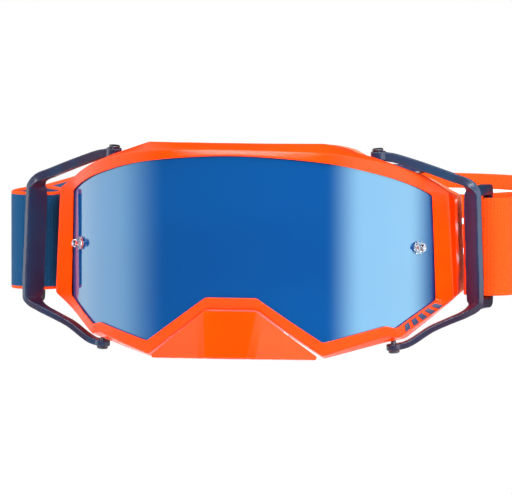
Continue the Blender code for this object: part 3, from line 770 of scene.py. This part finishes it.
def peg_cutters():
    x, z = GUARD_PEG
    turn = Matrix.Rotation(math.radians(90), 4, "X")
    size = 2 * (GUARD_PEG_RADIUS + GUARD_PEG_SLACK)
    return [rounded_box("peg_hole", (size, size, 17.0),
                        Matrix.Translation((side * x, LENS_FRONT_Y + 2.0, z)) @ turn, size / 2)
            for side, _ in SIDES]


def make_lens():
    """A curved plate whose upper and lower edges follow the window, a little outside it."""
    cad = np.array([v.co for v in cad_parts["lens"].data.vertices]) / MM
    cad = cad[np.abs(cad[:, 2] - POST_Z) > 2 * POST_HOLE_RADIUS]
    reach = cad[:, 0].max()
    columns = sorted({round(abs(float(x)), 2) for x in cad[:, 0]})
    near = [cad[np.abs(np.abs(cad[:, 0]) - x) < 0.02, 2] for x in columns]
    tops, bottoms = [z.max() for z in near], [z.min() for z in near]
    rows = []
    for x in np.linspace(-reach, reach, LENS_COLUMNS):
        top = float(np.interp(abs(x), columns, tops))
        bottom = float(np.interp(abs(x), columns, bottoms))
        front = lens_y(x) + LENS_FACE
        rear = front + LENS_THICKNESS
        heights = np.linspace(top, bottom, LENS_ROWS)
        rows.append([(x, front, z) for z in heights] + [(x, rear, z) for z in heights[::-1]])
    lens = grid_mesh("lens_mirror", rows, closed_columns=True, caps=True)
    holes = []
    for side, _ in SIDES:
        base, normal = post_place(side)
        place = Matrix.Translation(base) @ normal.to_track_quat("Z", "Y").to_matrix().to_4x4()
        size = 2 * POST_HOLE_RADIUS
        holes.append(rounded_box("post_hole", (size, size, 8.0), place, POST_HOLE_RADIUS))
    cut(lens, holes)
    lens.data.shade_smooth()
    lens.data.set_sharp_from_angle(angle=math.radians(40))
    return place_piece(lens, "goggle", "lens", "lens_mirror", "lens")


def post_place(side):
    """The point where a post's axis meets the lens face, and the lens normal there."""
    angle = math.asin(POST_X / LENS_RADIUS)
    normal = Vector((side * math.sin(angle), -math.cos(angle), 0.0))
    return Vector((side * POST_X, lens_y(POST_X) + LENS_FACE, POST_Z)), normal


def make_posts():
    for side, name in SIDES:
        base, normal = post_place(side)
        post = turned_mesh(f"tear_off_post_{name}_turned", POST_PROFILE, base, normal, False)
        place_piece(post, "goggle", "clear", "post_clear", f"tear_off_post_{name}")
        washer = turned_mesh(f"post_washer_{name}_turned", WASHER_PROFILE, base, normal, True)
        place_piece(washer, "goggle", "clear", "post_clear", f"post_washer_{name}")


def guard_row(points):
    left = [(x, LENS_FRONT_Y + y, z) for x, y, z in points]
    return [(-x, y, z) for x, y, z in reversed(left[1:])] + left


def make_nose_guard():
    """A folded shell of facets, with crisp folds and a rolled rim."""
    columns = list(zip(guard_row(GUARD_UPPER), guard_row(GUARD_LOWER)))
    columns = supported(columns, 0.6, closed=False)
    rows = []
    for upper, lower in columns:
        length = np.linalg.norm(lower - upper)
        near = min(MOST_SUPPORT, 0.7 / length)
        rows.append([tuple(upper + (lower - upper) * s)
                     for s in (0, near, 0.33, 0.66, 1 - near, 1)])
    guard = grid_mesh("nose_guard_shell", rows)
    for polygon in guard.data.polygons:
        if polygon.normal.y > 0:
            polygon.flip()
    shell = guard.modifiers.new("Shell", "SOLIDIFY")
    shell.thickness = GUARD_THICKNESS * MM
    shell.offset = -1.0
    shell.use_even_offset = True
    shell.edge_crease_outer = shell.edge_crease_inner = 0.75
    subdivide(guard, 2)
    settle(guard)
    return place_piece(guard, "nose_guard", "guard", "guard_orange", "nose_guard")


def chamfer_point(surface, along, across, lift):
    """A point lifted off the frame's lower chamfer, wearer's left, between window and ridge."""
    inner, outer = (Vector(line[EMBLEM_CHAMFER]).lerp(Vector(line[EMBLEM_CHAMFER + 1]), along)
                    for line in (WINDOW, RIDGE))
    x, z = inner.lerp(outer, across)
    place, normal, _, _ = surface.ray_cast(Vector((x, -100.0, z)) * MM, Vector((0, 1, 0)))
    return tuple(place / MM + normal * lift)


def make_emblem(shell):
    """Generic slanted bars on the lower chamfer, where the real frame carries a mark."""
    surface = BVHTree.FromPolygons([v.co for v in shell.data.vertices],
                                   [p.vertices for p in shell.data.polygons])
    vertices, faces = [], []
    for index in range(EMBLEM_BARS):
        start = EMBLEM_START + EMBLEM_PITCH * index
        for lift in (-EMBLEM_LIFT / 2, EMBLEM_LIFT):
            for along, across in EMBLEM_BAR:
                vertices.append(chamfer_point(surface, start + along, across, lift))
        first = 8 * index
        faces += [tuple(range(first, first + 4)), tuple(range(first + 4, first + 8))]
        faces += [(first + k, first + (k + 1) % 4, first + 4 + (k + 1) % 4, first + 4 + k)
                  for k in range(4)]
    bars = add_mesh("emblem_bars", vertices, faces)
    edge = bars.modifiers.new("Bevel", "BEVEL")
    edge.width = 0.0001
    edge.segments = 2
    settle(bars)
    place_piece(bars, "goggle", "emblem", "outrigger_navy")


# ---------------------------------------------------------------- foam

def make_face_foam():
    """Three bonded layers with rounded edges; the softer ones bulge between their faces."""
    outer_edge = offset_outline(SEAT_LOOP, -FOAM_EDGE)
    inner_edge = offset_outline(full_outline(FLANGE_EDGE), FOAM_EDGE)
    near = FOAM_GAP
    for node, thickness, swell, key, slot in FOAM_LAYERS:
        sections = ((FOAM_TUCK, 0.0), (FOAM_TUCK - swell, 0.3), (FOAM_TUCK - swell, 0.7),
                    (FOAM_FACE_TUCK, 1.0))
        loops = [seat_loop(offset_outline(outer_edge, -tuck), near + thickness * share)
                 for tuck, share in sections]
        loops += [seat_loop(offset_outline(inner_edge, tuck), near + thickness * share)
                  for tuck, share in reversed(sections)]
        piece = grid_mesh(f"{node}_pad", supported(loops, 1.0), True, True)
        subdivide(piece, 1)
        settle(piece)
        place_piece(piece, "goggle", key, slot, node)
        near += thickness + FOAM_GAP


def make_vent_foam(node, first, last):
    """A strip of vent foam lying on the inside of the frame's wall."""
    steps = (VENT_FOAM_GAP, VENT_FOAM_GAP + VENT_FOAM_THICKNESS)
    front = [offset_outline(INNER_WALL_FRONT, -step) for step in steps]
    rear = [offset_outline(INNER_WALL_REAR, -step) for step in steps]
    loops = []
    for layer, share in ((0, 0.12), (0, 0.5), (0, 0.9), (1, 0.9), (1, 0.5), (1, 0.12)):
        near = np.array(lens_loop(front[layer], INNER_LIP_REAR))
        far = np.array(seat_loop(rear[layer], -FLANGE_THICKNESS))
        loops.append(near + (far - near) * share)
    loops = supported(loops, 0.5)
    count = len(WINDOW_LOOP)
    rows = [[tuple(loop[i % count]) for loop in loops] for i in range(first, last + 1)]
    piece = grid_mesh(f"{node}_strip", rows, closed_columns=True, caps=True)
    subdivide(piece, 1)
    settle(piece)
    place_piece(piece, "goggle", "vent_foam", "vent_foam", node)


def make_vent_foams():
    count = len(WINDOW_LOOP)
    reach = stretch_start(1) + 1
    first = stretch_start(7) + 1
    last = stretch_start(8) - 1
    make_vent_foam("vent_foam_top", count - reach, count + reach)
    make_vent_foam("vent_foam_bottom_left", first, last)
    make_vent_foam("vent_foam_bottom_right", count - last, count - first)


# ---------------------------------------------------------------- outriggers, pins and sliders

def section_rows(rows, side):
    """Rectangular sections along a smooth path; every value is eased between its points."""
    values = [np.array([*point, angle, width, height]) for point, angle, width, height in rows]
    eased = smooth_path(values, 1.2)
    sections = []
    for index, value in enumerate(eased):
        before, after = eased[max(index - 1, 0)], eased[min(index + 1, len(eased) - 1)]
        point, along = Vector(value[:3]), Vector(after[:3] - before[:3]).normalized()
        angle = math.radians(value[3])
        across = Vector((math.cos(angle), math.sin(angle), 0.0))
        upright = along.cross(across).normalized()
        across = upright.cross(along) * value[4] / 2
        upright = upright * value[5] / 2
        corners = (point + across + upright, point - across + upright,
                   point - across - upright, point + across - upright)
        sections.append([(side * c.x, c.y, c.z) for c in corners])
    return sections


def hinge_points(side):
    upper, lower = (Vector((side * x, y, z)) for x, y, z in HINGE_PINS)
    return (upper, lower), (upper - lower).normalized()


def join(pieces):
    """One mesh object from several, which are removed."""
    shape = bmesh.new()
    for piece in pieces:
        shape.from_mesh(piece.data)
    mesh = bpy.data.meshes.new(pieces[0].name)
    shape.to_mesh(mesh)
    shape.free()
    for piece in pieces[1:]:
        bpy.data.objects.remove(piece)
    pieces[0].data = mesh
    return pieces[0]


def make_outrigger(side, name):
    """One moulding: a hoop of two arms and the front bar, and the slot that holds the strap."""
    points, axis = hinge_points(side)
    bars = [grid_mesh(f"outrigger_{name}_moulding", section_rows(OUTRIGGER_HOOP, side),
                      closed_columns=True, caps=True),
            grid_mesh("slot", section_rows(OUTRIGGER_SLOT, side), closed_columns=True, caps=True)]
    for point, height in zip(points, EYE_HEIGHTS):
        profile = [(EYE_BORE_RADIUS, height / 2), (EYE_RADIUS, height / 2),
                   (EYE_RADIUS, -height / 2), (EYE_BORE_RADIUS, -height / 2)]
        bars.append(turned_mesh("eye", profile, point, axis, True))
    piece = join(bars)
    soften(piece, OUTRIGGER_RELAX)
    settle(piece)
    place_piece(piece, f"outrigger_{name}", "outrigger", "outrigger_navy", f"outrigger_{name}")
    piece.visible_glossy = False    # its dark image would cover the ends of the mirrored lens


def soften(piece, passes):
    """Rounds every edge and inner corner, as a mould does: remeshed, then relaxed."""
    remesh = piece.modifiers.new("Remesh", "REMESH")
    remesh.mode = "VOXEL"
    remesh.voxel_size = MOULDING_VOXEL * MM
    remesh.use_smooth_shade = True
    relax = piece.modifiers.new("Relax", "SMOOTH")
    relax.factor = 0.5
    relax.iterations = passes


def make_slider(name):
    """A ladder buckle; the CAD solid's edges are rounded."""
    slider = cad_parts[f"slider_{name}"]
    paint(slider, "slider")
    soften(slider, SLIDER_RELAX)


def make_pins():
    for level in ("upper", "lower"):
        for _, name in SIDES:
            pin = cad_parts[f"outrigger_pin_{level}_{name}"]
            paint(pin, "steel")
            pin.data.shade_smooth()
            joined = pin.modifiers.new("Weld", "WELD")
            joined.merge_threshold = 0.00001
            edge = pin.modifiers.new("Bevel", "BEVEL")
            edge.width = 0.00015
            edge.segments = 2
            edge.limit_method = "ANGLE"
            edge.angle_limit = math.radians(40)
            edge.harden_normals = True


# ---------------------------------------------------------------- straps

def head_path(side, inset=0.0):
    """The strap's centre line from behind the outrigger round to the back of the head."""
    lap = STRAP_LAP_OFFSET if side < 0 else 0.0
    back = STRAP_BACK_Y + lap - inset
    wide = STRAP_SIDE_X - inset
    radius = STRAP_CORNER_RADIUS - inset
    path = [(wide, y) for y in np.linspace(STRAP_SIDE_Y, back - radius, 12)]
    for step in range(1, 25):
        angle = math.radians(90 * step / 24)
        path.append((wide - radius * (1 - math.cos(angle)), back - radius * (1 - math.sin(angle))))
    path += [(x, back) for x in np.linspace(wide - radius, -STRAP_LAP, 14)[1:]]
    return [(side * x, y) for x, y in path]


def band_mesh(name, path, section, z):
    """A band standing on edge along a path; its section is (across, out) pairs."""
    points = [Vector((x, y, 0.0)) for x, y in path]
    rows = []
    for index, point in enumerate(points):
        before, after = points[max(index - 1, 0)], points[min(index + 1, len(points) - 1)]
        along = (after - before).normalized()
        out = Vector((along.y, -along.x, 0.0))
        rows.append([tuple(point + out * lift + Vector((0, 0, z + across)))
                     for across, lift in section])
    return grid_mesh(name, rows, closed_columns=True, caps=True)


def band_section(width, thickness, steps):
    """A flat section with rounded edges and a slightly thicker selvage."""
    half, thin = width / 2, thickness / 2
    upper = [(-half, 0.0), (-half + 0.25, 0.7 * thin), (-half + 0.8, 0.95 * thin),
             (-half + 1.5, 0.86 * thin)]
    middle = [(a, 0.92 * thin) for a in np.linspace(-half + 2.4, half - 2.4, steps)]
    upper = upper + middle + [(-a, lift) for a, lift in reversed(upper)]
    return upper + [(a, -lift) for a, lift in reversed(upper[1:-1])]


def map_band(piece, path, section):
    """Writes each corner's place along and across the band, in metres, to the UV map."""
    lengths = [0.0]
    for start, end in zip(path, path[1:]):
        lengths.append(lengths[-1] + math.dist(start, end))
    layer = piece.data.uv_layers.new(name="band")
    width = len(section)
    for loop in piece.data.loops:
        row, column = divmod(loop.vertex_index, width)
        layer.data[loop.index].uv = (lengths[row] * MM, section[column][0] * MM)
    return lengths[-1]


def make_strap(side, name):
    """One length of webbing: sewn end, fold round the outrigger's rear bar, side and back."""
    fold = [(side * x, y) for x, y in SEWN_END + FOLD_PATH]
    rest = head_path(side)
    path = [tuple(p) for p in smooth_path(fold + rest[:EASED_POINTS], 1.5)] + rest[EASED_POINTS:]
    section = band_section(STRAP_WIDTH, STRAP_THICKNESS, 7)
    strap = band_mesh(f"strap_{name}_webbing", path, section, STRAP_Z)
    length = map_band(strap, path, section)
    subdivide(strap, 1)
    settle(strap)
    paint(strap, f"strap_{name}")
    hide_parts(f"strap_{name}", f"strap_fold_{name}")
    stitches = make_stitches(side, name)
    for piece in (strap, stitches):
        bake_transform(piece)


def make_stitches(side, name):
    """A box of stitches with a cross in it, sewn through both layers behind the fold."""
    reach = STRAP_WIDTH / 2 - STITCH_MARGIN
    low, high = STRAP_Z - reach, STRAP_Z + reach
    near, far = STITCH_BOX_YS
    lines = [((near, low), (near, high)), ((far, low), (far, high)), ((near, low), (far, low)),
             ((near, high), (far, high)), ((near, low), (far, high)), ((near, high), (far, low))]
    face = STRAP_SIDE_X + STRAP_THICKNESS / 2
    vertices, faces = [], []
    for start, end in lines:
        start, end = Vector(start), Vector(end)
        count = round((end - start).length / STITCH_PITCH)
        for index in range(count):
            a = start.lerp(end, (index + 0.14) / count)
            b = start.lerp(end, (index + 0.86) / count)
            add_stitch(vertices, faces, side, face, a, b)
    stitches = add_mesh(f"strap_{name}_stitches", vertices, faces)
    paint(stitches, f"thread_{name}")
    return stitches


def add_stitch(vertices, faces, side, face, start, end):
    """One thread lying on the webbing: a low round hump between two points of its surface."""
    sides, rows = 6, 5
    across = Vector((-(end - start).y, (end - start).x)).normalized()
    first = len(vertices)
    for row in range(rows):
        share = row / (rows - 1)
        centre = start.lerp(end, share)
        lift = 0.26 * math.sin(math.pi * share) - 0.08
        radius = 0.2 + 0.1 * math.sin(math.pi * share)
        for k in range(sides):
            angle = 2 * math.pi * k / sides
            spot = centre + across * radius * math.cos(angle)
            out = face + lift + radius * 0.8 * math.sin(angle)
            vertices.append((side * out, spot.x, spot.y))
    for row in range(rows - 1):
        for k in range(sides):
            a, b = first + row * sides + k, first + row * sides + (k + 1) % sides
            faces.append((a, b, b + sides, a + sides))
    faces.append(tuple(first + k for k in range(sides)))
    faces.append(tuple(first + (rows - 1) * sides + k for k in range(sides)))


def make_grips(side, name):
    """Silicone beads along the inside of the strap."""
    inset = STRAP_THICKNESS / 2 + GRIP_GAP + GRIP_THICKNESS / 2
    path = head_path(side, inset)[EASED_POINTS:-GRIP_END_POINTS]
    section = [(GRIP_WIDTH / 2 * math.cos(a), GRIP_THICKNESS / 2 * math.sin(a))
               for a in np.linspace(0, 2 * math.pi, 12, endpoint=False)]
    for index, centre in enumerate(GRIP_OFFSETS):
        node = f"grip_line_{index + 1}_{name}"
        bead = band_mesh(f"{node}_bead", path, section, STRAP_Z + centre)
        place_piece(bead, "goggle", "silicone", "grip_silicone", node)


# ---------------------------------------------------------------- studio

def make_floor():
    """A plain pale floor well below the goggles."""
    half, z = FLOOR_HALF_WIDTH, FLOOR_Z
    corners = [(-half, -half, z), (half, -half, z), (half, half, z), (-half, half, z)]
    floor = add_mesh("floor", corners, [(0, 1, 2, 3)])
    pale = new_material("pale_floor", (0.86, 0.86, 0.86), 0.8)
    tone = mix_colours(pale, noise(pale, 2.0, 1.0), (0.86, 0.86, 0.86), (0.83, 0.83, 0.835))
    drive(pale, "Base Color", tone)
    floor.data.materials.append(pale)


def soft_panel(world, azimuth, elevation, place, size, softness):
    """The brightness of a soft panel in the sky: 1 inside its edges, fading to 0 outside."""
    shares = []
    for angle, centre, half, soft in zip((azimuth, elevation), place, size, softness):
        offset = calculate(world, "ABSOLUTE", calculate(world, "SUBTRACT", angle,
                                                        math.radians(centre)))
        shares.append(map_range(world, offset, 1.0, 0.0, math.radians(half),
                                math.radians(half + soft)))
    return calculate(world, "MULTIPLY", *shares)


def make_world():
    """Soft panels to the left, right and overhead; the backdrop that the camera sees is pale."""
    world = bpy.data.worlds.new("studio")
    bpy.context.scene.world = world
    world.use_nodes = True
    background = world.node_tree.nodes["Background"]
    place = add_node(world, "ShaderNodeTexCoord")
    parts = add_node(world, "ShaderNodeSeparateXYZ")
    link(world, place.outputs["Generated"], parts.inputs["Vector"])
    forward = calculate(world, "MULTIPLY", parts.outputs["Y"], -1.0)
    azimuth = calculate(world, "ARCTAN2", parts.outputs["X"], forward)
    elevation = calculate(world, "ARCSINE", parts.outputs["Z"])
    overhead = map_range(world, elevation, 0.0, OVERHEAD, math.radians(45), math.radians(75))
    light = calculate(world, "ADD", overhead, AMBIENT)
    for centre, size, softness, strength in PANELS:
        panel = soft_panel(world, azimuth, elevation, centre, size, softness)
        light = calculate(world, "ADD", light, calculate(world, "MULTIPLY", panel, strength))
    path = add_node(world, "ShaderNodeLightPath")
    seen = add_node(world, "ShaderNodeMix", data_type="FLOAT")
    link(world, path.outputs["Is Camera Ray"], seen.inputs["Factor"])
    link(world, light, seen.inputs[2])
    seen.inputs[3].default_value = 1.0
    link(world, seen.outputs[0], background.inputs["Strength"])
    background.inputs["Color"].default_value = (1.0, 1.0, 1.0, 1.0)


def aim(thing, target):
    thing.rotation_euler = (Vector(target) - thing.location).to_track_quat("-Z", "Y").to_euler()


def direction(azimuth, elevation):
    """The direction from the goggles at an azimuth from the front towards the wearer's left."""
    a, e = math.radians(azimuth), math.radians(elevation)
    return Vector((math.sin(a) * math.cos(e), -math.cos(a) * math.cos(e), math.sin(e)))


def make_lights():
    for name, (azimuth, elevation), distance, size, power in AREA_LIGHTS:
        data = bpy.data.lights.new(name, "AREA")
        data.size = size
        data.energy = power
        lamp = bpy.data.objects.new(name, data)
        bpy.context.scene.collection.objects.link(lamp)
        lamp.visible_glossy = False
        lamp.location = (Vector(CAMERA_AIM) + direction(azimuth, elevation) * distance) * MM
        aim(lamp, Vector(CAMERA_AIM) * MM)


def make_camera():
    data = bpy.data.cameras.new("camera")
    data.sensor_fit = "HORIZONTAL"
    data.sensor_width = 36.0
    data.lens = data.sensor_width * CAMERA_DISTANCE / VIEW_WIDTH
    data.clip_end = 50.0
    camera = bpy.data.objects.new("camera", data)
    bpy.context.scene.collection.objects.link(camera)
    away = direction(CAMERA_AZIMUTH, CAMERA_ELEVATION) * CAMERA_DISTANCE
    camera.location = (Vector(CAMERA_AIM) + away) * MM
    aim(camera, Vector(CAMERA_AIM) * MM)
    bpy.context.scene.camera = camera
    bpy.context.scene.view_settings.view_transform = "Standard"


make_camera()
make_world()
make_lights()
make_floor()
shell = make_frame()
make_lens()
make_posts()
make_nose_guard()
make_emblem(shell)
make_face_foam()
make_vent_foams()
make_pins()
for side, name in SIDES:
    make_outrigger(side, name)
    make_slider(name)
    make_strap(side, name)
    make_grips(side, name)
